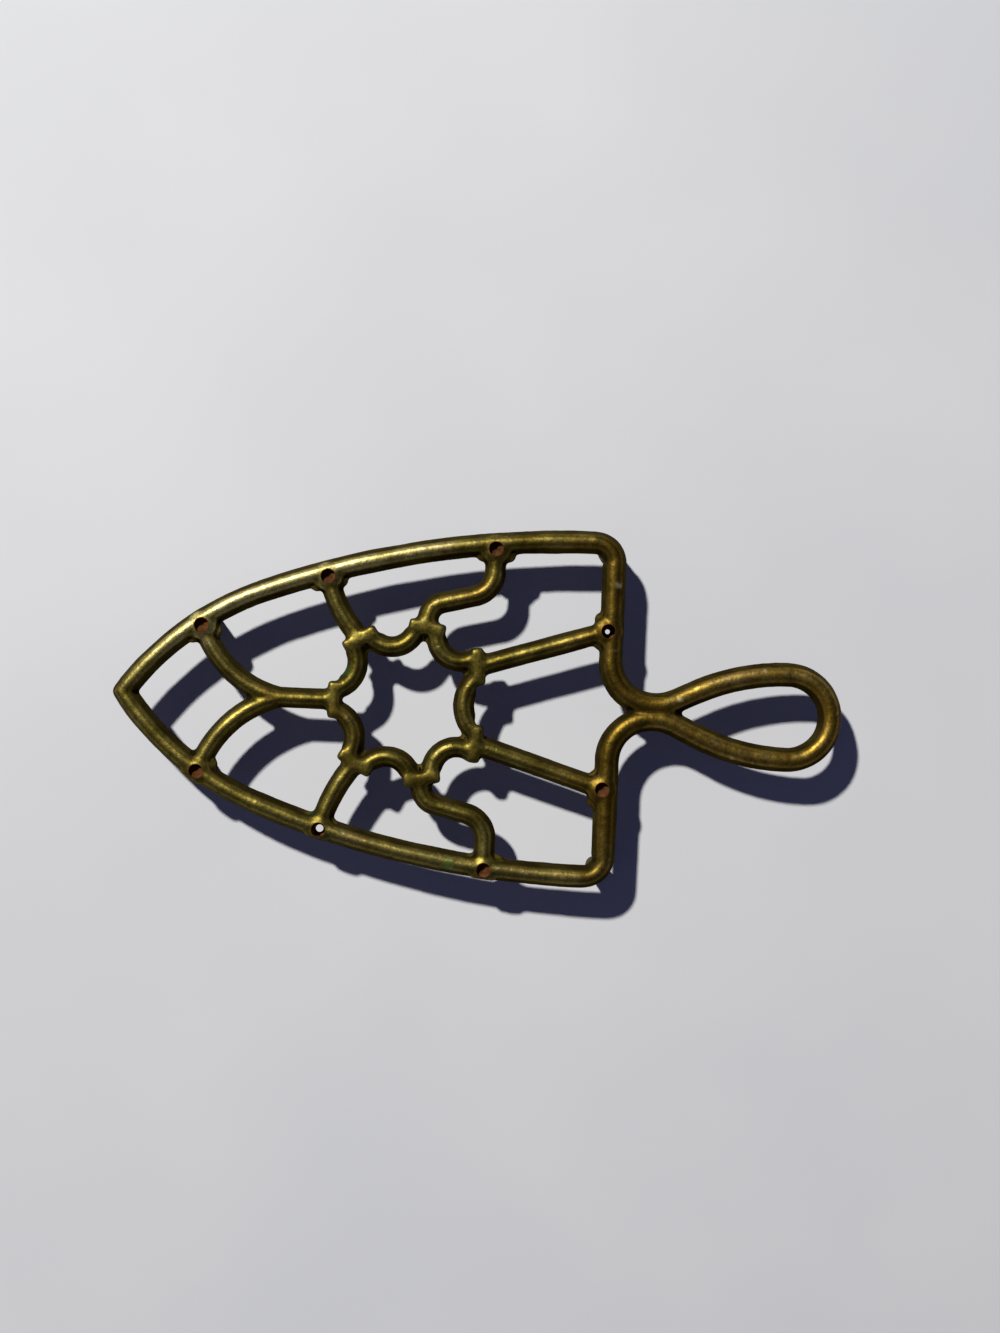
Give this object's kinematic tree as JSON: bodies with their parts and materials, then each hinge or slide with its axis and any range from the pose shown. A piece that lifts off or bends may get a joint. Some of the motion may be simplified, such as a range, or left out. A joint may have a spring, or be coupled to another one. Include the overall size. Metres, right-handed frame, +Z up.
{
  "type": "trivet",
  "caption": "Cast brass trivet shaped like a flat iron: open tracery plate with a star ring, rounded rim bars, a looped teardrop handle and short feet.",
  "frame": {"origin": "on the surface that the feet stand on, under the middle of the overall length, on the middle plane", "axes": "+X from the nose to the handle, +Y to the right of a hand that holds the handle with the nose ahead, +Z up"},
  "size_m": [0.185, 0.0904, 0.0188],
  "materials": {
    "cast_brass": "sand-cast brass with a dark olive patina, rubbed bright along the crowns"
  },
  "bodies": {
    "root": {"left_rim": "cast_brass", "right_rim": "cast_brass", "left_back_rail": "cast_brass", "right_back_rail": "cast_brass", "handle_loop": "cast_brass", "left_fork_arm": "cast_brass", "right_fork_arm": "cast_brass", "fork_stem": "cast_brass", "left_spoke": "cast_brass", "right_spoke": "cast_brass", "left_scroll": "cast_brass", "right_scroll": "cast_brass", "left_tail_bar": "cast_brass", "right_tail_bar": "cast_brass", "front_left_star_side": "cast_brass", "front_right_star_side": "cast_brass", "left_star_side": "cast_brass", "right_star_side": "cast_brass", "rear_left_star_side": "cast_brass", "rear_right_star_side": "cast_brass", "back_star_side": "cast_brass", "front_left_foot": "cast_brass", "front_right_foot": "cast_brass", "back_left_foot": "cast_brass", "back_right_foot": "cast_brass"}
  },
  "joints": []
}
